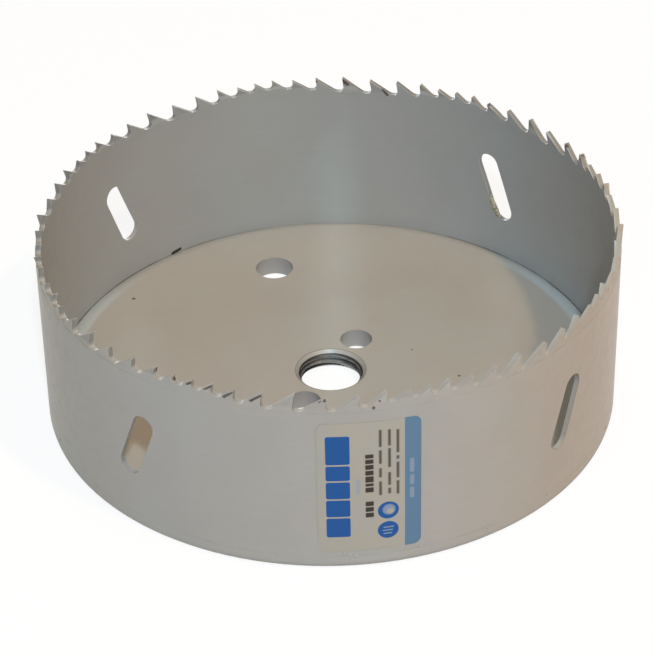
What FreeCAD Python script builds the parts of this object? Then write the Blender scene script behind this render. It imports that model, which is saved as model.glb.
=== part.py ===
import FreeCAD, Part
import math
import os

# Hole saw, standing on its backing plate with the teeth up.
# The origin is the centre of the plate's underside and +Z runs along the axis to the teeth.
# Sizes are in millimetres. Angles are in degrees, anticlockwise about +Z from +X.

Vector = FreeCAD.Vector
ORIGIN = Vector(0, 0, 0)
UP = Vector(0, 0, 1)

# Saw band: a strip of saw stock rolled into a ring
cutting_diameter = 140.0
overall_height = 47.8
band_thickness = 1.3

# Teeth: spaces grow and shrink again over each group, and the seam takes what is left
mean_pitch = 5.97
pitch_swing = 1.37
teeth_per_group = 9
pattern_lead = 0.45
first_tooth_angle = 143.4
mean_gullet_depth = 2.85
depth_per_pitch = 0.72
rake_angle = 8.0
back_angle = 35.0
tip_land = 0.15
gullet_front_radius = 1.0
gullet_back_radius = 1.8
back_radius_limit = 0.7
front_flat_count = 4
back_flat_count = 2
tooth_set = 0.45
set_pattern = (0, 1, -1)
bend_share = 0.85
crown_margin = 0.3

# Slanted slots through the band, for prying out the cut plug
slot_count = 4
slot_length = 19.0
slot_width = 5.8
slot_tilt = 21.5
slot_centre_height = 23.9
first_slot_angle = 0.0

# Backing plate: a blanked disc inside the lower end of the band
plate_thickness = 5.0
plate_clearance = 0.05
rolled_edge_width = 3.8
rolled_edge_drop = 1.2
thread_major_diameter = 15.875
bore_chamfer = 0.7
drive_pin_diameter = 8.0
drive_pin_circle = 28.6
drive_pin_angle = 12.6
drive_pin_count = 2
knockout_diameter = 9.7
knockout_circle = 95.2
knockout_angle = 56.9
knockout_count = 2

# Weld bead between band and plate, ground flush outside
weld_root_height = 1.2
weld_top_height = 3.4
weld_corner_radius = 1.1
weld_flat_count = 3

# Label film on the outside of the band
label_width = 23.3
label_height = 36.0
label_bottom = 4.9
label_corner_radius = 1.8
label_film = 0.12
label_angle = -133.7

# Radii that follow from the sizes above
band_outer = cutting_diameter / 2 - tooth_set
band_inner = band_outer - band_thickness
plate_rim = band_inner - plate_clearance
through = 4 * band_thickness


def on_axis(shape, angle):
    """Turns a copy of a shape about the saw's axis."""
    turned = shape.copy()
    turned.rotate(ORIGIN, UP, angle)
    return turned


def ring(profile, angle=360.0):
    """Spins an outline of (radius, height) points about the axis."""
    points = [Vector(radius, 0, height) for radius, height in profile]
    return polygon(points).revolve(ORIGIN, UP, angle)


def polygon(points):
    """Flat face with straight sides through the points."""
    return Part.Face(Part.makePolygon(points + points[:1]))


def radial_prism(face):
    """Pushes a face that stands in the plane x = 0 out through the band."""
    prism = face.copy()
    prism.translate(Vector(band_inner - through, 0, 0))
    return prism.extrude(Vector(band_thickness + 2 * through, 0, 0))


def tooth_spaces():
    """Tip-to-tip distances along the band, clockwise from the first tooth to the seam."""
    circumference = 2 * math.pi * band_outer
    count = math.floor(circumference / mean_pitch)
    spaces = []
    for index in range(count - 1):
        turn = 2 * math.pi * (index + pattern_lead) / teeth_per_group
        spaces.append(mean_pitch - pitch_swing * math.cos(turn))
    spaces.append(circumference - sum(spaces))
    return spaces


def gullet(space):
    """Depth, back radius and the two ends of the flat bottom, measured from the tip before it."""
    depth = mean_gullet_depth + depth_per_pitch * (space - mean_pitch)
    rake = math.radians(rake_angle)
    back = math.radians(back_angle)
    back_radius = min(gullet_back_radius, back_radius_limit * depth)
    flat_start = tip_land + (back_radius + (depth - back_radius) * math.cos(back)) / math.sin(back)
    under_tip = (depth - gullet_front_radius) * math.tan(rake)
    flat_end = space + under_tip - gullet_front_radius / math.cos(rake)
    return depth, back_radius, flat_start, flat_end


def flats(centre, radius, start, end, count):
    """Points (along, height) of a small round, drawn as a few flats because it repeats so often."""
    points = []
    for index in range(count + 1):
        turn = start + (end - start) * index / count
        points.append((centre[0] + radius * math.cos(turn), centre[1] + radius * math.sin(turn)))
    return points


def tooth_face(space_before, space_after, floor):
    """Outline of one tooth in the plane x = 0, its tip at y = 0 and its rake face towards +Y."""
    depth_in, _, far_flat_start, far_flat_end = gullet(space_before)
    depth_out, back_radius, flat_start, flat_end = gullet(space_after)
    left = far_flat_start - space_before
    low_in = overall_height - depth_in
    low_out = overall_height - depth_out
    down = -math.pi / 2
    rake = math.radians(rake_angle)
    back = down - math.radians(back_angle)
    front_centre = (far_flat_end - space_before, low_in + gullet_front_radius)
    back_centre = (flat_start, low_out + back_radius)
    outline = [(left, floor), (left, low_in)]
    outline += flats(front_centre, gullet_front_radius, down, rake, front_flat_count)
    outline += [(0, overall_height), (tip_land, overall_height)]
    outline += flats(back_centre, back_radius, back, down, back_flat_count)
    outline += [(flat_end, low_out), (flat_end, floor)]
    return polygon([Vector(0, -along, height) for along, height in outline])


def make_tooth(space_before, space_after, floor, side):
    """One tooth, its tip at angle 0. Setting presses it flat and leans it out, in or not at all."""
    depth_in, _, far_flat_start, far_flat_end = gullet(space_before)
    depth_out, _, flat_start, flat_end = gullet(space_after)
    left = (far_flat_start + far_flat_end) / 2 - space_before
    right = (flat_start + flat_end) / 2
    width = right - left
    middle = (left + right) / 2
    half = width / 2 / band_outer
    inner = band_inner * math.cos(half)
    outer = band_outer * math.cos(half)
    bend = overall_height - bend_share * min(depth_in, depth_out)
    lean = side * tooth_set
    wall = [
        Vector(inner, -width, floor),
        Vector(outer, -width, floor),
        Vector(outer, -width, bend),
        Vector(outer + lean, -width, overall_height),
        Vector(inner + lean, -width, overall_height),
        Vector(inner, -width, bend),
    ]
    blank = polygon(wall).extrude(Vector(0, 2 * width, 0))
    reach = band_outer + through
    wedge = polygon([
        Vector(0, 0, floor),
        Vector(reach, -reach * math.tan(half), floor),
        Vector(reach, reach * math.tan(half), floor),
    ]).extrude(Vector(0, 0, overall_height - floor))
    outline = radial_prism(tooth_face(space_before, space_after, floor))
    outline.translate(Vector(0, middle, 0))
    return on_axis(blank.common(wedge).common(outline), -math.degrees(middle / band_outer))


def make_slot():
    """Cutter for one slot at angle 0: a slanted stadium pushed through the band."""
    half = (slot_length - slot_width) / 2
    radius = slot_width / 2
    points = [Vector(0, radius, half), Vector(0, 0, half + radius), Vector(0, -radius, half)]
    ends = [Vector(0, -radius, -half), Vector(0, 0, -half - radius), Vector(0, radius, -half)]
    edges = [
        Part.Arc(*points).toShape(),
        Part.makeLine(points[2], ends[0]),
        Part.Arc(*ends).toShape(),
        Part.makeLine(ends[2], points[0]),
    ]
    face = Part.Face(Part.Wire(edges))
    face.rotate(ORIGIN, Vector(1, 0, 0), -slot_tilt)
    face.translate(Vector(0, 0, slot_centre_height))
    return radial_prism(face)


def make_saw_band():
    """Plain ring with a bevelled foot, a crown of set teeth and the slanted slots."""
    spaces = tooth_spaces()
    floor = overall_height - max(gullet(space)[0] for space in spaces) - crown_margin
    foot = [
        (band_inner, weld_root_height),
        (band_outer, weld_top_height),
        (band_outer, floor),
        (band_inner, floor),
    ]
    teeth = []
    travelled = 0.0
    for index, space_after in enumerate(spaces):
        side = set_pattern[index % len(set_pattern)]
        tooth = make_tooth(spaces[index - 1], space_after, floor, side)
        teeth.append(on_axis(tooth, first_tooth_angle - math.degrees(travelled / band_outer)))
        travelled += space_after
    band = ring(foot).multiFuse(teeth)
    slot = make_slot()
    step = 360.0 / slot_count
    slots = [on_axis(slot, first_slot_angle + index * step) for index in range(slot_count)]
    return band.cut(Part.makeCompound(slots)).removeSplitter()


def hole_ring(diameter, circle, angle, count):
    """Cutters for evenly spaced round holes through the plate."""
    holes = []
    for index in range(count):
        hole = Part.makeCylinder(diameter / 2, 3 * plate_thickness, Vector(circle / 2, 0, -plate_thickness))
        holes.append(on_axis(hole, angle + index * 360.0 / count))
    return holes


def make_backing_plate():
    """Blanked disc: a chamfered thread bore, a rolled upper rim and a bevelled lower one."""
    bore = thread_major_diameter / 2
    roll_start = plate_rim - rolled_edge_width
    roll_radius = (rolled_edge_width ** 2 + rolled_edge_drop ** 2) / (2 * rolled_edge_drop)
    half_turn = math.asin(rolled_edge_width / roll_radius) / 2
    roll_middle = Vector(roll_start + roll_radius * math.sin(half_turn), 0,
                         plate_thickness - roll_radius * (1 - math.cos(half_turn)))
    rim_top = Vector(plate_rim, 0, plate_thickness - rolled_edge_drop)
    top_end = Vector(roll_start, 0, plate_thickness)
    corners = [
        rim_top,
        Vector(plate_rim, 0, weld_root_height),
        Vector(plate_rim - weld_root_height, 0, 0),
        Vector(bore + bore_chamfer, 0, 0),
        Vector(bore, 0, bore_chamfer),
        Vector(bore, 0, plate_thickness - bore_chamfer),
        Vector(bore + bore_chamfer, 0, plate_thickness),
        top_end,
    ]
    edges = [Part.makeLine(a, b) for a, b in zip(corners, corners[1:])]
    edges.append(Part.Arc(top_end, roll_middle, rim_top).toShape())
    disc = Part.Face(Part.Wire(edges)).revolve(ORIGIN, UP, 360)
    holes = hole_ring(drive_pin_diameter, drive_pin_circle, drive_pin_angle, drive_pin_count)
    holes += hole_ring(knockout_diameter, knockout_circle, knockout_angle, knockout_count)
    return disc.cut(Part.makeCompound(holes))


def make_rim_weld():
    """Bead that fills the bevel between plate and band, ground round at the outer corner."""
    radius = weld_corner_radius
    corner = (band_outer - radius, radius)
    profile = flats(corner, radius, -math.pi / 2, 0, weld_flat_count)
    profile += [
        (band_outer, weld_top_height),
        (band_inner, weld_root_height),
        (plate_rim - weld_root_height, 0),
    ]
    return ring(profile)


def make_label():
    """Printed film that follows the outside of the band, with rounded corners."""
    spread = math.degrees(label_width / band_outer)
    film = [
        (band_outer, label_bottom),
        (band_outer + label_film, label_bottom),
        (band_outer + label_film, label_bottom + label_height),
        (band_outer, label_bottom + label_height),
    ]
    strip = on_axis(ring(film, 2 * spread), -spread)
    half = label_width / 2
    block = Part.makeBox(2 * band_thickness, label_width, label_height,
                         Vector(band_outer - band_thickness, -half, label_bottom))
    upright = [edge for edge in block.Edges if abs(edge.tangentAt(edge.FirstParameter).x) > 0.9]
    block = block.makeFillet(label_corner_radius, upright)
    return on_axis(strip.common(block), label_angle)


parts = {
    "saw_band": make_saw_band(),
    "backing_plate": make_backing_plate(),
    "rim_weld": make_rim_weld(),
    "label": make_label(),
}

os.makedirs("parts", exist_ok=True)
for name, shape in parts.items():
    solid = shape.Solids[0]
    print(name, "solids", len(shape.Solids), "valid", solid.isValid(), "volume", round(solid.Volume, 1))
    solid.exportStep("parts/" + name + ".step")
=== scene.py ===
# %% [markdown]
# # A hole saw, dressed
#
# This lesson takes a large hole saw that was built as CAD solids and gives it the finish of the
# real one: light grey paint, a printed label, a cut thread in the centre hole, and the small
# lumps, chips and dirt that a workshop tool has. The solids are loaded as a fixed frame. They
# are never moved. The camera, the floor and the lamps come first. Each later step either paints
# a solid or adds a small piece to it.

# %% Load the saw
import math

import bpy
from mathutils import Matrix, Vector


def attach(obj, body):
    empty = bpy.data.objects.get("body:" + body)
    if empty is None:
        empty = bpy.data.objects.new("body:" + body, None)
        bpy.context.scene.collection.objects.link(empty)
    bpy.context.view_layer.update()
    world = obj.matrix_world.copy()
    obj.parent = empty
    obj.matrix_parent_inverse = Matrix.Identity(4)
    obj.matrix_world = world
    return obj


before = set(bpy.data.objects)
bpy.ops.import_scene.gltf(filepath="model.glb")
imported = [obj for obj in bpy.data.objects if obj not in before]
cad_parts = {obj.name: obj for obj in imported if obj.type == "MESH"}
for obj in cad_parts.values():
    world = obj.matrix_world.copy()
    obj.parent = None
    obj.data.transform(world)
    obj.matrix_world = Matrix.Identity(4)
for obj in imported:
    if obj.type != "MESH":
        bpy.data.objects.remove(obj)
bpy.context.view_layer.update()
mm = 0.001
bpy.context.scene.view_settings.view_transform = "Standard"

# %% [markdown]
# ## Sizes that the finish depends on
#
# The paint, the print and the thread have to line up with the solids, so the sizes that they
# share with the CAD model are written here once, in millimetres. Angles are in degrees about
# the saw's axis, anticlockwise from +X. Most things on the saw sit on a circle, so `on_ring`
# turns a radius, an angle and a height into a point.

# %% Sizes shared with the solids
BAND_OUTER = 69.55
BAND_INNER = 68.25
BAND_MIDDLE = (BAND_INNER + BAND_OUTER) / 2
PLATE_TOP = 5.0
PLATE_RIM_TOP = 3.8
TOOTH_TOP = 47.8
THREAD_MAJOR = 7.9375
BORE_CHAMFER = 0.7
LABEL_ANGLE = -133.7
LABEL_BOTTOM = 4.9
LABEL_WIDTH = 23.3
LABEL_HEIGHT = 36.0
LABEL_THICKNESS = 0.12
LABEL_FACE = BAND_OUTER + LABEL_THICKNESS


def on_ring(radius, angle, height):
    """A point in metres, from a radius, an angle about the axis and a height in millimetres."""
    turn = math.radians(angle)
    return Vector((radius * math.cos(turn), radius * math.sin(turn), height)) * mm


print("label face at", on_ring(LABEL_FACE, LABEL_ANGLE, LABEL_BOTTOM))

# %% [markdown]
# ## Camera
#
# The saw is seen from the front and from above, far enough away that the rim is only a little
# wider in front. A long lens does that. A camera can be placed by eye, but then the rims never
# quite meet the photograph's, so its place, in metres, and its turn, in degrees, come from
# fitting both rims. The picture is square.

# %% Camera
CAMERA_PLACE = (-0.41020, -0.33934, 0.39225)
CAMERA_TURN = (54.884, 0.976, -50.996)
CAMERA_LENS = 147.2
SENSOR_WIDTH = 36.0
NEAREST_SEEN = 0.01

bpy.ops.object.select_all(action="DESELECT")
bpy.ops.object.camera_add(location=CAMERA_PLACE, rotation=[math.radians(a) for a in CAMERA_TURN])
camera = bpy.context.object
camera.name = "photo_camera"
camera.data.lens = CAMERA_LENS
camera.data.sensor_width = SENSOR_WIDTH
camera.data.clip_start = NEAREST_SEEN
bpy.context.scene.camera = camera
print("camera is", round(Vector(CAMERA_PLACE).length, 3), "m from the saw")

# %% [markdown]
# ## Building materials with short calls
#
# A procedural finish is a chain of small sums: a distance, a noise, a threshold, a mix of two
# colours. Clicking them together in the Shader Editor works, but in a script the same chain
# reads better through a helper. `Finish` holds one material. Each call adds one node, and a
# value can be a number or the output of an earlier node.

# %% The material helper
def linear(red, green, blue):
    """A colour as a picture program shows it, 0 to 255, turned into the linear values of a shader."""
    values = []
    for part in (red, green, blue):
        share = part / 255
        values.append(share / 12.92 if share <= 0.04045 else ((share + 0.055) / 1.055) ** 2.4)
    return values


class Finish:
    """One material and the nodes that make it."""

    def __init__(self, name):
        self.material = bpy.data.materials.new(name)
        self.material.use_nodes = True
        self.tree = self.material.node_tree
        self.shader = self.tree.nodes["Principled BSDF"]
        self.where = self.add("ShaderNodeTexCoord").outputs["Object"]

    def add(self, kind, values=(), **settings):
        """Adds a node, with its settings and the values of its sockets."""
        node = self.tree.nodes.new(kind)
        for name, value in settings.items():
            setattr(node, name, value)
        for socket, value in dict(values).items():
            self.put(node.inputs[socket], value)
        return node

    def put(self, socket, value):
        """Gives a socket an output, a colour or a number."""
        if isinstance(value, bpy.types.NodeSocket):
            self.tree.links.new(value, socket)
        elif socket.type == "RGBA":
            socket.default_value = (*value, 1.0)
        else:
            socket.default_value = value

    def sum(self, operation, *values):
        """One step of arithmetic."""
        node = self.add("ShaderNodeMath", enumerate(values), operation=operation)
        return node.outputs[0]

    def both(self, first, *others):
        """Masks multiplied: 1 only where all of them are 1."""
        for other in others:
            first = self.sum("MULTIPLY", first, other)
        return first

    def fade(self, value, low, high, at_low=0.0, at_high=1.0):
        """Smoothly from at_low to at_high while value goes from low to high."""
        values = {"Value": value, "From Min": low, "From Max": high, "To Min": at_low, "To Max": at_high}
        node = self.add("ShaderNodeMapRange", values, interpolation_type="SMOOTHSTEP")
        return node.outputs[0]

    def noise(self, size_mm, detail=2.0, roughness=0.5, stretch=None):
        """Cloudy noise with lumps of about size_mm, from 0 to 1."""
        where = self.where
        if stretch:
            where = self.add("ShaderNodeVectorMath", {0: where, 1: stretch}, operation="MULTIPLY").outputs[0]
        values = {"Vector": where, "Scale": 1 / (size_mm * mm), "Detail": detail, "Roughness": roughness}
        return self.add("ShaderNodeTexNoise", values).outputs["Fac"]

    def blend(self, factor, first, second, mode="MIX"):
        """Second over first, or multiplied into it, as far as factor says."""
        values = {"Factor": factor, 6: first, 7: second}
        node = self.add("ShaderNodeMix", values, data_type="RGBA", blend_type=mode)
        return node.outputs[2]

    def give(self, node_name):
        """Puts the finish on a CAD node."""
        for material_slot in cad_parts[node_name].material_slots:
            material_slot.material = self.material


print("a mid grey of 160 is", [round(v, 3) for v in linear(160, 160, 160)])

# %% [markdown]
# ## Floor
#
# Catalogue photographs stand the tool on white. A white sheet under strong light would do that,
# but the light would bleach the saw. The floor here is a plain pale sheet instead, and what the
# camera sees of it is mixed with white, so that only a soft shadow stays. Only rays from the
# camera, and rays that a gloss or a glass sends on, see that white.

# %% Pale floor
FLOOR_SIZE = 6.0
FLOOR_DROP = 0.0002
PAPER_GREY = 0.8
WHITE_SHARE = 0.85
WHITE = (1.0, 1.0, 1.0)

bpy.ops.mesh.primitive_plane_add(size=FLOOR_SIZE, location=(0, 0, -FLOOR_DROP))
floor = bpy.context.object
floor.name = "studio_floor"


def seen_directly(tree):
    """1 for rays that come from the camera or by a mirror or glass, 0 for rays that carry light."""
    path = tree.nodes.new("ShaderNodeLightPath")
    total = path.outputs["Is Camera Ray"]
    for name in ("Is Glossy Ray", "Is Transmission Ray"):
        top = tree.nodes.new("ShaderNodeMath")
        top.operation = "MAXIMUM"
        tree.links.new(total, top.inputs[0])
        tree.links.new(path.outputs[name], top.inputs[1])
        total = top.outputs[0]
    return total


paper = Finish("white_paper")
paper.shader.inputs["Base Color"].default_value = (PAPER_GREY, PAPER_GREY, PAPER_GREY, 1.0)
paper.shader.inputs["Roughness"].default_value = 1.0
paper.shader.inputs["Specular IOR Level"].default_value = 0.0
bright = paper.add("ShaderNodeBsdfDiffuse", {"Color": WHITE}).outputs[0]
glow = paper.add("ShaderNodeEmission", {"Color": WHITE}).outputs[0]
pale = paper.add("ShaderNodeMixShader", {0: WHITE_SHARE, 1: bright, 2: glow}).outputs[0]
plain = paper.shader.outputs[0]
choose = paper.add("ShaderNodeMixShader", {0: seen_directly(paper.tree), 1: plain, 2: pale})
paper.put(paper.tree.nodes["Material Output"].inputs["Surface"], choose.outputs[0])
floor.data.materials.append(paper.material)
print("floor is", FLOOR_SIZE, "m wide")

# %% [markdown]
# ## Surround
#
# Beyond the floor is the world. It is white to the camera, as the floor is, and to the saw it is
# a dim grey room, which keeps the shadows from going black.

# %% Dim grey surround
SURROUND = (0.135, 0.128, 0.128)

world = bpy.data.worlds.new("studio")
world.use_nodes = True
bpy.context.scene.world = world
air = world.node_tree
surround = air.nodes["Background"]
surround.inputs["Color"].default_value = (*SURROUND, 1.0)
white = air.nodes.new("ShaderNodeBackground")
white.inputs["Color"].default_value = (*WHITE, 1.0)
either = air.nodes.new("ShaderNodeMixShader")
air.links.new(seen_directly(air), either.inputs[0])
air.links.new(surround.outputs[0], either.inputs[1])
air.links.new(white.outputs[0], either.inputs[2])
air.links.new(either.outputs[0], air.nodes["World Output"].inputs["Surface"])
print("surround gives", SURROUND)

# %% [markdown]
# ## Lamps
#
# One wide soft lamp would light the saw evenly, but the photograph has clear shadow edges. So two
# small lamps do most of the work: a warm one at the right and a cooler one in front. Where the
# wall hides one of them, the plate and the wall take the colour of the other, and the edge of
# the wall's shadow shows on the right of the plate. Three soft lamps fill in from the left, the
# right and above, and a low one behind lights the back.

# %% Lamps
LAMP_DISTANCE = 1.5


def add_lamp(name, azimuth, elevation, width, height, colour, power):
    """A lamp that looks at the saw from an azimuth and an elevation; sizes in m, power in W."""
    turn = math.radians(azimuth)
    rise = math.radians(elevation)
    away = Vector((math.cos(turn) * math.cos(rise), math.sin(turn) * math.cos(rise), math.sin(rise)))
    aim = Vector((0, 0, TOOTH_TOP / 2 * mm))
    bpy.ops.object.light_add(type="AREA", location=aim + away * LAMP_DISTANCE)
    lamp = bpy.context.object
    lamp.name = name
    lamp.rotation_euler = away.to_track_quat("Z", "Y").to_euler()
    lamp.data.shape = "RECTANGLE"
    lamp.data.size = width
    lamp.data.size_y = height
    lamp.data.color = colour
    lamp.data.energy = power
    print(name, "at", [round(v, 2) for v in lamp.location])


add_lamp("warm_key", -93, 58, 0.08, 0.08, (1.0, 0.70, 0.35), 7.1)
add_lamp("front_key", -134.5, 45, 0.07, 0.07, (0.68, 0.84, 1.0), 14.9)
add_lamp("left_fill", 185, 35, 0.9, 0.6, (0.80, 0.90, 1.0), 2.7)
add_lamp("right_fill", -60, 20, 0.6, 0.6, (1.0, 0.70, 0.58), 2.25)
add_lamp("top", -50, 88, 1.0, 1.0, (1.0, 0.78, 0.43), 4.25)
add_lamp("back_low", 50, 14, 0.9, 0.5, (0.9, 0.95, 1.0), 9.0)

# %% [markdown]
# ## A streak of light
#
# The photograph has a faint upright streak that runs over the plate and up the wall behind it.
# A streak in the paint would stay when the saw is seen from another side, so it is light: a spot
# that is squeezed to a narrow oval and fades out to its edges.

# %% Narrow streak
STREAK_AIM = on_ring(38, 36.5, PLATE_TOP)
STREAK_AZIMUTH = -141
STREAK_SPREAD = 4.2
STREAK_SQUEEZE = 0.12
STREAK_SOFTNESS = 0.005
STREAK_POWER = 24.0

streak_turn = math.radians(STREAK_AZIMUTH)
streak_away = Vector((math.cos(streak_turn), math.sin(streak_turn), 1.0)).normalized()
bpy.ops.object.light_add(type="SPOT", location=STREAK_AIM + streak_away * LAMP_DISTANCE)
streak = bpy.context.object
streak.name = "narrow_streak"
streak.rotation_euler = streak_away.to_track_quat("Z", "Y").to_euler()
streak.scale = (STREAK_SQUEEZE, 1.0, 1.0)
streak.data.spot_size = math.radians(STREAK_SPREAD)
streak.data.spot_blend = 1.0
streak.data.shadow_soft_size = STREAK_SOFTNESS
streak.data.color = (0.5, 0.85, 1.0)
streak.data.energy = STREAK_POWER
print("streak falls at", [round(v / mm, 1) for v in STREAK_AIM])

# %% [markdown]
# ## Finding a place on a round thing
#
# Nearly every mark on this saw lies at some radius, angle or height: the teeth are the top of
# the wall, and the joint is a circle. A picture wrapped round the saw could show them too, but
# it would need unrolling and would blur. So `SawFinish` works out the three from the object's
# own coordinates and asks how near each one is to a value.

# %% Radius, angle and height
class SawFinish(Finish):
    """A finish that knows where it is about the saw's axis."""

    def polar(self):
        """Radius in mm, angle in degrees and height in mm about the saw's axis."""
        split = self.add("ShaderNodeSeparateXYZ", {0: self.where})
        x, y, z = split.outputs
        square = self.sum("ADD", self.sum("MULTIPLY", x, x), self.sum("MULTIPLY", y, y))
        radius = self.sum("MULTIPLY", self.sum("SQRT", square), 1 / mm)
        angle = self.sum("DEGREES", self.sum("ARCTAN2", y, x))
        return radius, angle, self.sum("MULTIPLY", z, 1 / mm)

    def near(self, value, middle, inside, outside):
        """1 where value is within `inside` of middle, falling to 0 at `outside`."""
        away = self.sum("ABSOLUTE", self.sum("SUBTRACT", value, middle))
        return self.fade(away, inside, outside, 1.0, 0.0)

    def turned(self, angle, middle):
        """Degrees between angle and middle, the short way round."""
        return self.sum("ABSOLUTE", self.sum("WRAP", self.sum("SUBTRACT", angle, middle), 180.0, -180.0))


print("the wall runs from radius", BAND_INNER, "to", BAND_OUTER, "mm")

# %% [markdown]
# ## Grey paint: the coat
#
# Band, plate and weld are sprayed in one light grey coat after the teeth are cut, so all three
# share one finish. Real spray paint is never one flat colour: it has soft clouds and a fine
# speckle, and on the band the rolled steel shows through as faint level lines. A picture of
# paint would need seams. A noise needs none, so each of these is a noise of its own size that
# mixes one grey a little way into another.

# %% Clouds, speckle and rolling lines
PAINT = linear(163, 158, 151)
PAINT_DARK = linear(156, 151, 144)
PAINT_COOL = linear(160, 160, 155)
CLOUD_SIZE = 28
COOL_CLOUD_SIZE = 22
SPECKLE_SIZE = 2.2
ROLLING_LINE_SIZE = 4.0

paint = SawFinish("grey_paint")
radius, angle, height = paint.polar()
clouds = paint.noise(CLOUD_SIZE, detail=3.0, roughness=0.6)
colour = paint.blend(paint.fade(clouds, 0.35, 0.70, 0.2, 0.7), PAINT, PAINT_DARK)
cool = paint.noise(COOL_CLOUD_SIZE, detail=1.0, stretch=(1.0, 1.3, 1.0))
colour = paint.blend(paint.fade(cool, 0.40, 0.75, 0.05, 0.55), colour, PAINT_COOL)
speckle = paint.noise(SPECKLE_SIZE, detail=4.0, roughness=0.6)
colour = paint.blend(paint.fade(speckle, 0.4, 0.8, 0.0, 0.16), colour, PAINT_DARK)
rolled = paint.noise(ROLLING_LINE_SIZE, detail=3.0, roughness=0.6, stretch=(0.3, 0.3, 8.0))
rolled = paint.both(paint.fade(rolled, 0.35, 0.7, 0.0, 0.3), paint.fade(radius, 68.0, 68.1))
colour = paint.blend(rolled, colour, PAINT_DARK)
print("clouds of", CLOUD_SIZE, "and", COOL_CLOUD_SIZE, "mm, speckle of", SPECKLE_SIZE, "mm")

# %% [markdown]
# ## Grey paint: painted light on outside, inside and plate
#
# The saw isn't lit the same all round: the outside looks warm on the right and dull at the far
# left, the inside a cooler grey, and the plate the palest. Lamps give most of that. Stronger lamp
# colours could give the rest, but they would spill onto the other sides, so the rest is painted
# light and painted shade: a tint that multiplies the coat, with a wide soft edge that shows no
# border. Painted shade darkens the rounded lower edge, and a faint line shows where the weld was
# ground off.

# %% Painted light and shade by side
OUTSIDE_PAINTED_LIGHT = (1.0, 0.995, 0.99)
WARM_PAINTED_LIGHT = {"middle": -65.0, "reach": 62.0, "tint": (1.0, 0.85, 0.71)}
DULL_PAINTED_SHADE = {"middle": 138.0, "reach": 45.0, "tint": (0.75, 0.735, 0.62)}
FULL_TINT_WITHIN = 8.0
LOW_EDGE_PAINTED_SHADE = (0.80, 0.79, 0.77)
WELD_LINE_TINT = (0.92, 0.92, 0.90)
WELD_LINE_HEIGHT = 3.5
INSIDE_PAINTED_COOL_LIGHT = (0.975, 1.02, 1.06)
PLATE_PAINTED_WARM_LIGHT = (1.035, 1.01, 0.985)

# Painted light and shade on the outside: warm on the right, dull at the far left.
outside = paint.near(radius, BAND_OUTER, 0.2, 0.5)
colour = paint.blend(outside, colour, OUTSIDE_PAINTED_LIGHT, "MULTIPLY")
for side in (WARM_PAINTED_LIGHT, DULL_PAINTED_SHADE):
    facing = paint.fade(paint.turned(angle, side["middle"]), FULL_TINT_WITHIN, side["reach"], 1.0, 0.0)
    colour = paint.blend(paint.both(outside, facing), colour, side["tint"], "MULTIPLY")
# Painted shade on the rounded lower edge.
low_edge_shade = paint.both(paint.fade(radius, 68.0, 68.6), paint.fade(height, 0.3, 2.0, 1.0, 0.0))
colour = paint.blend(low_edge_shade, colour, LOW_EDGE_PAINTED_SHADE, "MULTIPLY")
patchy = paint.fade(paint.noise(9, detail=2.0), 0.4, 0.6, 0.2, 1.0)
weld_line = paint.both(outside, paint.near(height, WELD_LINE_HEIGHT, 0.1, 0.45), patchy)
colour = paint.blend(weld_line, colour, WELD_LINE_TINT, "MULTIPLY")
# Painted light: cooler on the inside, warmer and paler on the plate.
colour = paint.blend(paint.near(radius, BAND_INNER, 0.2, 0.5), colour, INSIDE_PAINTED_COOL_LIGHT, "MULTIPLY")
colour = paint.blend(paint.fade(radius, 67.0, 68.0, 1.0, 0.0), colour, PLATE_PAINTED_WARM_LIGHT, "MULTIPLY")
print("warm side at", WARM_PAINTED_LIGHT["middle"], "degrees, dull side at", DULL_PAINTED_SHADE["middle"])

# %% [markdown]
# ## Grey paint: cut edges and holes
#
# The teeth, the slots and the holes are cut faces. Painted shade darkens the cut faces of the
# teeth and, in a cool grey, the walls of the holes, and the wall of one slot is darker. They could
# have a material of their own, but each solid is one mesh with one finish, so their place tells
# them apart: a cut face of the band is halfway through the wall, and the wall of a hole is between
# the plate's two faces. The painted shade on the tooth edges is darkest at the back of the saw, so
# its strength changes with the angle.

# %% Painted shade and tints on cut faces
TOOTH_EDGE_PAINTED_SHADE = (0.50, 0.48, 0.46)
TOOTH_EDGE_FROM = 43.8
LEAST_SHADED_TEETH_ANGLE = -100.0
TOOTH_SHADE_SPANS = [(0.0, 25.0, 50.0, 0.35), (70.0, 35.0, 60.0, 0.4)]
SLOT_WALL_TINT = (0.62, 0.62, 0.63)
SLOT_WALL_ANGLE = 3.0
ABOVE_SLOTS = 38.0
HOLE_WALL_PAINTED_SHADE = (0.89, 0.90, 0.96)
HOLES_MIDDLE_RADIUS = 36.0
HOLES_HALF_WIDTH = 26.0

# Painted shade on the cut faces of the teeth, strongest at the back of the saw.
cut_face = paint.near(radius, BAND_MIDDLE, 0.4, 0.62)
tooth_shade_share = paint.fade(paint.turned(angle, LEAST_SHADED_TEETH_ANGLE), 30.0, 60.0, 0.04, 0.4)
for middle, inside, end, most in TOOTH_SHADE_SPANS:
    tooth_shade_share = paint.sum("ADD", tooth_shade_share, paint.fade(paint.turned(angle, middle), inside, end, most, 0.0))
tooth_edge_shade = paint.both(cut_face, paint.fade(height, TOOTH_EDGE_FROM, TOOTH_EDGE_FROM + 0.7), tooth_shade_share)
colour = paint.blend(tooth_edge_shade, colour, TOOTH_EDGE_PAINTED_SHADE, "MULTIPLY")

below_teeth = paint.fade(height, ABOVE_SLOTS, ABOVE_SLOTS + 2.0, 1.0, 0.0)
this_slot = paint.fade(paint.turned(angle, SLOT_WALL_ANGLE), 15.0, 25.0, 1.0, 0.0)
colour = paint.blend(paint.both(cut_face, below_teeth, this_slot), colour, SLOT_WALL_TINT, "MULTIPLY")

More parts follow.
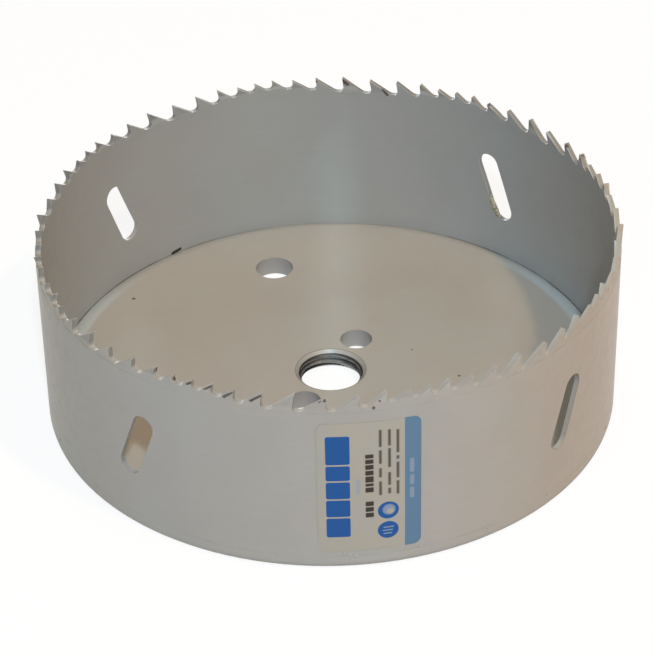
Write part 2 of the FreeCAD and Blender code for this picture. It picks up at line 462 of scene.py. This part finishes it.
# Painted shade, a cool grey, on the walls of the holes.
between_faces = paint.near(height, PLATE_TOP / 2, 2.3, 2.45)
among_holes = paint.near(radius, HOLES_MIDDLE_RADIUS, HOLES_HALF_WIDTH, HOLES_HALF_WIDTH + 1.0)
colour = paint.blend(paint.both(between_faces, among_holes), colour, HOLE_WALL_PAINTED_SHADE, "MULTIPLY")
print("cut faces lie about", BAND_MIDDLE, "mm from the axis")

# %% [markdown]
# ## Grey paint: rim of the plate and edge of the bore
#
# The plate's rim is rolled down by the press, and painted light makes it paler, least at the back.
# The bore's chamfer is cut after painting, so a thin dark line and a ring of barer grey run
# round it. Thin rings could be laid on top, but paint has no thickness to see here, and both are
# circles, so a radius with a soft edge is enough.

# %% Rim and bore
RIM_PAINTED_LIGHT = linear(176, 183, 183)
RIM_INNER = 63.2
RIM_OUTER = 68.2
RIM_LIGHT_FAINT_ANGLE = 44.0
BORE_GREY = linear(132, 130, 132)
JOINT_DIRT = linear(76, 70, 62)
CHAMFER_EDGE = THREAD_MAJOR + BORE_CHAMFER

# Painted light on the rolled rim, faint at the back of the plate.
past_inner = paint.fade(radius, RIM_INNER, RIM_INNER + 1.4)
before_outer = paint.fade(radius, RIM_OUTER - 0.4, RIM_OUTER, 1.0, 0.0)
rim_light_share = paint.fade(paint.turned(angle, RIM_LIGHT_FAINT_ANGLE), 42.0, 60.0, 0.08, 0.75)
colour = paint.blend(paint.both(past_inner, before_outer, rim_light_share), colour, RIM_PAINTED_LIGHT)
beside_bore = paint.both(paint.near(radius, CHAMFER_EDGE + 0.1, 0.03, 0.2), 0.6)
colour = paint.blend(beside_bore, colour, JOINT_DIRT)
on_chamfer = paint.fade(radius, CHAMFER_EDGE - 0.2, CHAMFER_EDGE, 0.25, 0.0)
colour = paint.blend(on_chamfer, colour, BORE_GREY)
print("chamfer ends at radius", CHAMFER_EDGE, "mm")

# %% [markdown]
# ## Dirt in the joint
#
# Plate and band meet in a crack where the paint breaks and dirt stays. The crack itself is in
# the solids, too thin to see, so the dirt makes it show: it is the place that is both at the
# band's inner radius and at the height of the plate's rim. A noise breaks the line up, and it
# fades out on the side where the photograph hardly shows it.

# %% Joint
FAINT_JOINT_ANGLE = 40.0

at_wall = paint.near(radius, BAND_INNER - 0.05, 0.05, 0.3)
at_rim_top = paint.near(height, PLATE_RIM_TOP + 0.05, 0.05, 0.3)
broken = paint.fade(paint.noise(6, detail=3.0), 0.3, 0.6, 0.15, 0.7)
joint_share = paint.fade(paint.turned(angle, FAINT_JOINT_ANGLE), 8.0, 46.0, 0.12, 1.0)
colour = paint.blend(paint.both(at_wall, at_rim_top, broken, joint_share), colour, JOINT_DIRT)
print("joint at radius", BAND_INNER, "and height", PLATE_RIM_TOP)

# %% [markdown]
# ## How to draw a small mark
#
# A chip or a stroke of painted shade is too small to cut out of the solid, and colour alone shows
# it. Each mark has its own place, so it is a distance: from a point for a chip, and from a line
# for a stroke.
# A fine noise is added to the distance before it is cut off, which makes the outline ragged.

# %% Distance to a mark
FAR_AWAY = 10.0
RAGGED_SIZE = 0.5
RAGGED_REACH = 4
FULL_MARK = 0.65
NO_MARK = 1.25


def from_point(place):
    """Millimetres from a point in mm."""
    away = paint.add("ShaderNodeVectorMath", {0: paint.where, 1: Vector(place) * mm}, operation="DISTANCE")
    return paint.sum("MULTIPLY", away.outputs["Value"], 1 / mm)


def from_line(start, end):
    """Millimetres from a straight line between two points in mm."""
    way = (Vector(end) - Vector(start)) * mm
    start = Vector(start) * mm
    gone = paint.add("ShaderNodeVectorMath", {0: paint.where, 1: start}, operation="SUBTRACT").outputs[0]
    per_way = way / way.length_squared
    share = paint.add("ShaderNodeVectorMath", {0: gone, 1: per_way}, operation="DOT_PRODUCT")
    share = paint.add("ShaderNodeClamp", {"Value": share.outputs["Value"]}).outputs[0]
    on_line = paint.add("ShaderNodeVectorMath", {0: way, "Scale": share}, operation="SCALE").outputs[0]
    away = paint.add("ShaderNodeVectorMath", {0: gone, 1: on_line}, operation="DISTANCE")
    return paint.sum("MULTIPLY", away.outputs["Value"], 1 / mm)


def marks(chips, shade_strokes=(), ragged=0.35):
    """1 inside any chip (x, y, z, radius) or stroke of painted shade (start, end, radius), with ragged
    outlines.
    """
    reach = FAR_AWAY
    for x, y, z, size in chips:
        reach = paint.sum("MINIMUM", reach, paint.sum("DIVIDE", from_point((x, y, z)), size))
    for start, end, size in shade_strokes:
        reach = paint.sum("MINIMUM", reach, paint.sum("DIVIDE", from_line(start, end), size))
    wobble = paint.sum("SUBTRACT", paint.noise(RAGGED_SIZE), 0.5)
    wobble = paint.sum("MULTIPLY", wobble, ragged * RAGGED_REACH)
    return paint.fade(paint.sum("ADD", reach, wobble), FULL_MARK, NO_MARK, 1.0, 0.0)


print("a mark is full within", FULL_MARK, "and gone past", NO_MARK, "of its size")

# %% [markdown]
# ## Chips, specks and painted shade on the teeth
#
# The paint is knocked off some tooth tips, a few dark specks lie on the plate and the band, and
# in one place the joint is open. Strokes of painted shade darken the faces of a few teeth at the
# front left, in the same dark colour as the chips. A list holds each kind of mark, with its place
# and its size in millimetres, because these marks don't repeat and no noise would put them where
# they are.

# %% Chips, specks and painted shade strokes
CHIP_AND_SHADE_DARK = linear(70, 60, 52)
GAP_DARK = linear(30, 28, 26)
SPECKS = [
    (-6.9, 59.4, 5.0, 0.45), (18.8, -10.7, 5.0, 0.26), (17.2, -26.6, 5.0, 0.34),
    (-47.27, -50.93, 44.53, 0.42),
]
OPEN_JOINT = [
    (15.9, 66.4, 4.2, 0.45), (16.4, 66.2, 4.3, 0.5), (17.0, 66.1, 4.4, 0.5), (17.6, 65.9, 4.5, 0.5),
    (18.2, 65.8, 4.6, 0.45),
]
TIP_CHIPS = [
    (51.1, 45.2, 47.4, 0.3), (55.7, 40.0, 47.3, 0.4), (55.9, 39.5, 46.9, 0.45), (56.1, 39.0, 46.4, 0.4),
    (60.7, 30.9, 45.5, 0.4), (60.9, 30.6, 45.0, 0.4), (61.1, 30.3, 44.5, 0.4), (61.2, 29.9, 44.1, 0.35),
    (68.2, 2.5, 47.6, 0.4), (64.0, -24.3, 47.4, 0.5), (64.1, -24.0, 46.8, 0.4), (62.4, -30.3, 47.5, 0.4),
    (-67.7, -6.3, 46.9, 0.5), (-67.8, -11.5, 46.7, 0.5), (-55.0, -42.2, 46.8, 0.4),
    (-54.7, -43.2, 47.5, 0.5), (-46.2, -51.8, 46.2, 0.25),
]
TIP_SHADE_STROKES = [
    ((-62.1, -31.25, 47.65), (-63.0, -29.3, 46.0), 0.42),
    ((-65.05, -25.6, 47.65), (-65.4, -23.7, 45.85), 0.38),
    ((-66.0, -20.55, 47.65), (-66.6, -19.2, 46.7), 0.3),
    ((-67.6, -16.1, 47.6), (-67.85, -15.2, 46.95), 0.34),
]

colour = paint.blend(marks(SPECKS), colour, CHIP_AND_SHADE_DARK)
# The chips are knocked paint; the strokes are painted shade on tooth faces at the front left.
colour = paint.blend(marks(TIP_CHIPS, TIP_SHADE_STROKES, ragged=0.2), colour, CHIP_AND_SHADE_DARK)
colour = paint.blend(marks(OPEN_JOINT, ragged=0.15), colour, GAP_DARK)
print(len(TIP_CHIPS), "chips and", len(TIP_SHADE_STROKES), "scrapes on the teeth")

# %% [markdown]
# ## Underside and skin
#
# The saw stands on its flat cap, so the lowest tenths of a millimetre are scuffed by benches and
# boxes. The coat also has a fine skin like orange peel. It is far too fine to model, so it is a
# bump, and the same speckle that darkens the coat makes it a little rougher.

# %% Scuffs, skin and shine
SCUFF = linear(112, 110, 108)
SKIN_SIZE = 0.9
SKIN_HEIGHT = 0.0001

underneath = paint.fade(height, 0.05, 0.3, 1.0, 0.0)
scuffs = paint.noise(3.5, detail=5.0, roughness=0.65, stretch=(1.0, 0.35, 1.0))
scuffs = paint.both(underneath, paint.fade(scuffs, 0.56, 0.66), 0.55)
colour = paint.blend(scuffs, colour, SCUFF)

paint.put(paint.shader.inputs["Base Color"], colour)
paint.put(paint.shader.inputs["Roughness"], paint.fade(speckle, 0.3, 0.8, 0.34, 0.44))
skin = paint.noise(SKIN_SIZE, detail=2.0)
bump = paint.add("ShaderNodeBump", {"Height": skin, "Strength": 0.12, "Distance": SKIN_HEIGHT})
paint.put(paint.shader.inputs["Normal"], bump.outputs[0])
for node_name in ("saw_band", "backing_plate", "rim_weld"):
    paint.give(node_name)
print("grey paint has", len(paint.tree.nodes), "nodes")

# %% [markdown]
# ## Thread in the centre hole
#
# The arbor screws into the plate. A thread could be cut out of the plate, but the solids are
# never changed, so the ridge is a piece of its own inside the bore: one triangle that is carried
# round and up, which the Screw modifier does. The tool that cuts the chamfers also cuts the
# first and last crests, so every point that stands inside a chamfer is moved out to it. Both
# ends then run out inside the plate, and a face closes each of them.

# %% Shape of the thread
THREAD_PITCH = 25.4 / 18
THREAD_DEPTH = 0.72
THREAD_ROOT_GAP = 0.04
THREAD_PARTS = 3
THREAD_STEPS = 60
SHARP_EDGE = 30
thread_bottom = BORE_CHAMFER
thread_top = PLATE_TOP - BORE_CHAMFER
rise_per_part = (thread_top - thread_bottom) / THREAD_PARTS

bpy.ops.object.select_all(action="DESELECT")
bpy.ops.mesh.primitive_circle_add(vertices=3, radius=THREAD_PITCH / 2 * mm, fill_type="NOTHING")
thread = bpy.context.object
thread.name = "bore_thread"
crest = THREAD_MAJOR - THREAD_DEPTH
root = THREAD_MAJOR + THREAD_ROOT_GAP
half_root = THREAD_PITCH / 2 - THREAD_ROOT_GAP
corners = [(crest, 0.0), (root, half_root), (root, -half_root)]
for vertex, (out, rise) in zip(thread.data.vertices, corners):
    vertex.co = Vector((out, 0.0, thread_bottom + rise)) * mm
turn = thread.modifiers.new("turn", "SCREW")
turn.axis = "Z"
turn.steps = turn.render_steps = THREAD_STEPS
turn.screw_offset = rise_per_part * mm
turn.angle = 2 * math.pi * rise_per_part / THREAD_PITCH
turn.iterations = THREAD_PARTS
bpy.ops.object.modifier_apply(modifier=turn.name)

for vertex in thread.data.vertices:
    rise = vertex.co.z / mm
    chamfer = THREAD_MAJOR + max(thread_bottom - rise, rise - thread_top) + THREAD_ROOT_GAP
    out = vertex.co.xy.length / mm
    if out < chamfer:
        vertex.co.xy *= chamfer / out

bpy.ops.object.mode_set(mode="EDIT")
bpy.ops.mesh.select_all(action="DESELECT")
bpy.ops.mesh.select_mode(type="EDGE")
bpy.ops.mesh.select_non_manifold()
bpy.ops.mesh.edge_face_add()
bpy.ops.mesh.select_all(action="SELECT")
bpy.ops.mesh.normals_make_consistent(inside=False)
bpy.ops.object.mode_set(mode="OBJECT")
bpy.ops.object.shade_smooth_by_angle(angle=math.radians(SHARP_EDGE))
print("thread has", len(thread.data.polygons), "faces")

# %% [markdown]
# ## Bare steel of the thread
#
# The thread is cut through the paint, so it is bare, and oil and chips have turned it dark. The
# steel is darker towards the roots. Depth is only the radius again, so the steel is blended from
# grey at the crests to nearly black at the roots.

# %% Finish of the thread
STEEL = linear(112, 109, 108)
STEEL_STAIN = linear(84, 82, 80)
ROOT_DARK = linear(34, 32, 30)

bare = SawFinish("bare_steel")
bare.shader.inputs["Metallic"].default_value = 0.35
bare.shader.inputs["Roughness"].default_value = 0.5
radius = bare.polar()[0]
depth = bare.fade(radius, crest + 0.05, crest + 0.5)
steel = bare.blend(bare.fade(bare.noise(1.5), 0.4, 0.6), STEEL, STEEL_STAIN)
bare.put(bare.shader.inputs["Base Color"], bare.blend(depth, steel, ROOT_DARK))
thread.data.materials.append(bare.material)
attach(thread, "root")
print("crests at radius", crest, "mm, roots at", root)

# %% [markdown]
# ## How to make a ragged lump
#
# Punching the slots leaves ragged burrs, one tooth has been hit, and the paint dried in small
# lumps along the lower edge. Modelling each by hand would take long for something under two
# millimetres. Each lump is a small ball that is squeezed to its three widths, pushed out of shape
# by a cloudy texture, and sunk halfway into the surface. Lumps that belong together are joined.
# With no window, the rotate operator turns clockwise, so the turn is given with a minus.

# %% The lump helper
LUMP_CLOUD_SIZE = 0.6
BALL_RADIUS = 0.5


def ragged_lumps(name, lumps, material, lumpiness):
    """Joins lumps (x, y, z, turn in degrees, three widths; all in mm) into one piece."""
    push_clouds = bpy.data.textures.new(name + "_clouds", "CLOUDS")
    push_clouds.noise_scale = LUMP_CLOUD_SIZE * mm
    parts = []
    for x, y, z, turn_degrees, out, along, up in lumps:
        bpy.ops.mesh.primitive_ico_sphere_add(subdivisions=3, radius=BALL_RADIUS * mm, location=(0, 0, 0))
        part = bpy.context.object
        bpy.ops.transform.resize(value=(out, along, up))
        turn = -math.radians(turn_degrees)
        bpy.ops.transform.rotate(value=turn, orient_axis="Z", center_override=(0, 0, 0))
        bpy.ops.transform.translate(value=Vector((x, y, z)) * mm)
        bpy.ops.object.transform_apply(location=True, rotation=True, scale=True)
        push = part.modifiers.new("push", "DISPLACE")
        push.texture = push_clouds
        push.strength = lumpiness * mm
        bpy.ops.object.modifier_apply(modifier=push.name)
        parts.append(part)
    bpy.ops.object.select_all(action="DESELECT")
    for part in parts:
        part.select_set(True)
    bpy.context.view_layer.objects.active = parts[0]
    bpy.ops.object.join()
    piece = bpy.context.object
    piece.name = name
    bpy.ops.object.shade_smooth()
    piece.data.materials.append(material)
    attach(piece, "root")
    print(name, "has", len(piece.data.polygons), "faces from", len(lumps), "lumps")


# %% [markdown]
# ## Burrs and paint lumps
#
# The burr in the far right slot is a chain of lumps down its wall, and the hit tooth has a short
# one across its tip. The burrs are bare and grimy. The paint lumps lie round the lower edge, where
# the wet coat ran together, so they wear the same paint as the band.

# %% Burrs and lumps
SLOT_BURR = [
    (68.8, 1.7, 20.2, 0, 1.0, 0.6, 1.6), (68.6, 1.2, 19.2, 0, 1.2, 1.0, 1.8),
    (68.7, 0.75, 18.2, 0, 1.2, 1.3, 1.8), (68.6, 0.35, 17.4, 0, 1.3, 1.5, 1.7),
    (68.7, -0.1, 16.6, 0, 1.2, 1.6, 1.6), (68.6, -0.6, 15.8, 0, 1.2, 1.3, 1.4),
    (68.7, -1.2, 15.3, 0, 1.0, 1.1, 0.8),
]
TOOTH_BURR = [
    (62.55, -29.9, 47.1, -26, 0.9, 0.5, 0.7), (62.3, -30.6, 47.2, -26, 1.0, 0.6, 0.5),
    (62.2, -31.1, 46.4, -26, 0.9, 0.5, 0.6), (61.9, -31.7, 45.7, -26, 0.9, 0.6, 0.5),
]
PAINT_LUMP_PLACES = [
    (-137.6, 3.6, 1.1), (-136.4, 3.2, 1.3), (-138.6, 4.2, 0.7), (-169.3, 6.6, 0.8), (-124.2, 3.7, 0.9),
    (-110.0, 3.1, 1.0), (-152.0, 2.9, 0.9), (-95.0, 3.4, 0.8), (-70.0, 3.0, 1.0), (-20.0, 3.6, 0.9),
    (35.0, 3.1, 1.1), (88.0, 3.5, 0.9), (150.0, 3.2, 1.0),
]
PAINT_LUMP_OUT = 0.3
PAINT_LUMP_FLATNESS = 0.8

burr = Finish("bare_burr")
grime = burr.fade(burr.noise(0.8, detail=3.0), 0.35, 0.65)
burr_colour = burr.blend(grime, linear(172, 162, 138), linear(140, 130, 108))
burr.put(burr.shader.inputs["Base Color"], burr_colour)
burr.shader.inputs["Roughness"].default_value = 0.6

paint_lumps = []
for lump_angle, lump_height, width in PAINT_LUMP_PLACES:
    place = on_ring(BAND_OUTER, lump_angle, lump_height) / mm
    paint_lumps.append((*place, lump_angle, PAINT_LUMP_OUT, width, width * PAINT_LUMP_FLATNESS))

ragged_lumps("slot_burr", SLOT_BURR, burr.material, 0.45)
ragged_lumps("tooth_burr", TOOTH_BURR, burr.material, 0.4)
ragged_lumps("paint_lumps", paint_lumps, paint.material, 0.12)

# %% [markdown]
# ## Printing on the label
#
# The label is a cream film with blocks of blue and dark print. Print is flat, so it belongs in
# the colour and not in the shape. A picture wrapped round the film would do it too, but it would
# be one more file, and sums stay sharp however near the camera comes. The film is unrolled first,
# so that `along` runs left to right and `up` from bottom to top, in millimetres. A field of print
# is then a rectangle with round corners, and a disc is one whose corners take up all of it.

# %% Fields of print
film = SawFinish("label_print")
angle, height = film.polar()[1:]
along = film.sum("MULTIPLY", film.sum("SUBTRACT", angle, LABEL_ANGLE), math.radians(LABEL_FACE))
up = film.sum("SUBTRACT", height, LABEL_BOTTOM)


def field(left, right, bottom, top, corner, soft=0.08):
    """1 inside a rectangle with round corners, 0 outside."""
    sides = []
    for value, low, high in ((along, left, right), (up, bottom, top)):
        from_middle = film.sum("ABSOLUTE", film.sum("SUBTRACT", value, (low + high) / 2))
        past_corner = film.sum("SUBTRACT", from_middle, (high - low) / 2 - corner)
        sides.append(film.sum("MAXIMUM", past_corner, 0.0))
    squares = [film.sum("MULTIPLY", side, side) for side in sides]
    reach = film.sum("SQRT", film.sum("ADD", *squares))
    return film.fade(reach, corner - soft, corner + soft, 1.0, 0.0)


def disc(middle_along, middle_up, size, soft=0.08):
    """1 inside a disc, 0 outside."""
    return field(middle_along - size, middle_along + size, middle_up - size, middle_up + size, size, soft)


print("label runs", LABEL_WIDTH, "mm along and", LABEL_HEIGHT, "mm up")

# %% [markdown]
# ## What is printed
#
# The print is plain: a blue field in five blocks, rows of dark dashes, two blue discs and a
# steel-blue bar at one end. A block or a dark dash is a (bottom, top) pair, so a row of them is
# a list. A pale dash also has its own middle and strength, and a small row starts with its
# middle.

# %% Places of the print
EDGE = LABEL_WIDTH / 2
END_BAR = 3.7
PAST_EDGE = 2.0
BLOCK_SIDES = (-9.8, -4.4)
BOLD_SIDES = (-1.0, 0.87)
PALE_HALF_WIDTH = 0.5
SMALL_HALF_WIDTH = 0.32
LINE_WIDTH = 0.35

BLUE_BLOCKS = [(4.2, 9.6), (10.0, 14.7), (15.1, 19.8), (20.2, 24.3), (24.7, 32.5)]
PALE_DASHES = [
    (-2.65, 16.2, 20.4, 0.6), (9.6, 13.5, 16.5, 0.7), (9.6, 17.2, 20.0, 0.7), (9.6, 20.7, 24.6, 0.7),
]
BOLD_DASHES = [
    (9.4, 10.7), (11.0, 12.3), (12.6, 13.9), (16.5, 17.9), (18.2, 19.0), (19.3, 21.0), (21.3, 22.6),
    (22.9, 24.2), (24.5, 25.7), (26.0, 27.1),
]
SMALL_ROWS = [
    (2.4, (15.4, 19.3), (20.4, 23.0), (24.2, 28.0), (28.9, 33.6)),
    (4.45, (15.6, 17.2), (18.0, 21.6), (23.0, 28.3), (29.0, 33.5)),
    (6.35, (15.2, 19.0), (19.8, 24.2), (25.0, 26.0), (26.8, 33.2)),
]
print(len(BLUE_BLOCKS), "blue blocks,", len(BOLD_DASHES), "bold dashes and", len(SMALL_ROWS), "small rows")

# %% [markdown]
# ## Printing the fields over the film
#
# Ink lies over the film and over earlier ink, so each field is kept with its colour and its
# strength, and a loop mixes them over the cream in turn. A strength under 1 lets what is below
# show through, as thin ink does.

# %% Label print
CREAM = linear(166, 159, 146)
CREAM_PALE = linear(162, 158, 152)
BLUE = linear(34, 82, 142)
STEEL_BLUE = linear(92, 120, 145)
INK = linear(38, 26, 18)
PALE_INK = linear(140, 150, 165)

bar_sides = (EDGE - END_BAR, EDGE + PAST_EDGE)
bar_ends = (-PAST_EDGE, LABEL_HEIGHT + PAST_EDGE)
fields = [(field(*bar_sides, *bar_ends, 0.2), STEEL_BLUE, 1.0)]
for bottom, top in BLUE_BLOCKS:
    fields.append((field(*BLOCK_SIDES, bottom, top, 0.5), BLUE, 1.0))
for middle, bottom, top, strength in PALE_DASHES:
    sides = (middle - PALE_HALF_WIDTH, middle + PALE_HALF_WIDTH)
    fields.append((field(*sides, bottom, top, 0.3, soft=0.2), PALE_INK, strength))
for bottom, top in BOLD_DASHES:
    fields.append((field(*BOLD_SIDES, bottom, top, 0.2, soft=0.12), INK, 0.92))
for middle, *dashes in SMALL_ROWS:
    sides = (middle - SMALL_HALF_WIDTH, middle + SMALL_HALF_WIDTH)
    for bottom, top in dashes:
        fields.append((field(*sides, bottom, top, 0.2, soft=0.2), INK, 0.8))
fields += [
    (disc(4.15, 10.9, 2.4), BLUE, 1.0),
    (disc(4.3, 11.1, 1.45, 0.3), PALE_INK, 0.8),
    (disc(4.6, 10.6, 0.8, 0.3), CREAM, 0.9),
    (disc(4.1, 5.3, 2.4), BLUE, 1.0),
]
for left, right, bottom in ((3.0, 5.4, 5.9), (2.8, 5.2, 5.0), (3.0, 5.0, 4.1)):
    fields.append((field(left, right, bottom, bottom + LINE_WIDTH, 0.15), PALE_INK, 0.8))

colour = film.blend(film.fade(film.noise(5, detail=3.0), 0.4, 0.7, 0.0, 0.6), CREAM, CREAM_PALE)
for mask, tint, strength in fields:
    colour = film.blend(film.both(mask, strength), colour, tint)
film.put(film.shader.inputs["Base Color"], colour)
film.shader.inputs["Roughness"].default_value = 0.45
film.shader.inputs["Specular IOR Level"].default_value = 0.12
film.give("label")
print("label has", len(fields), "printed fields")
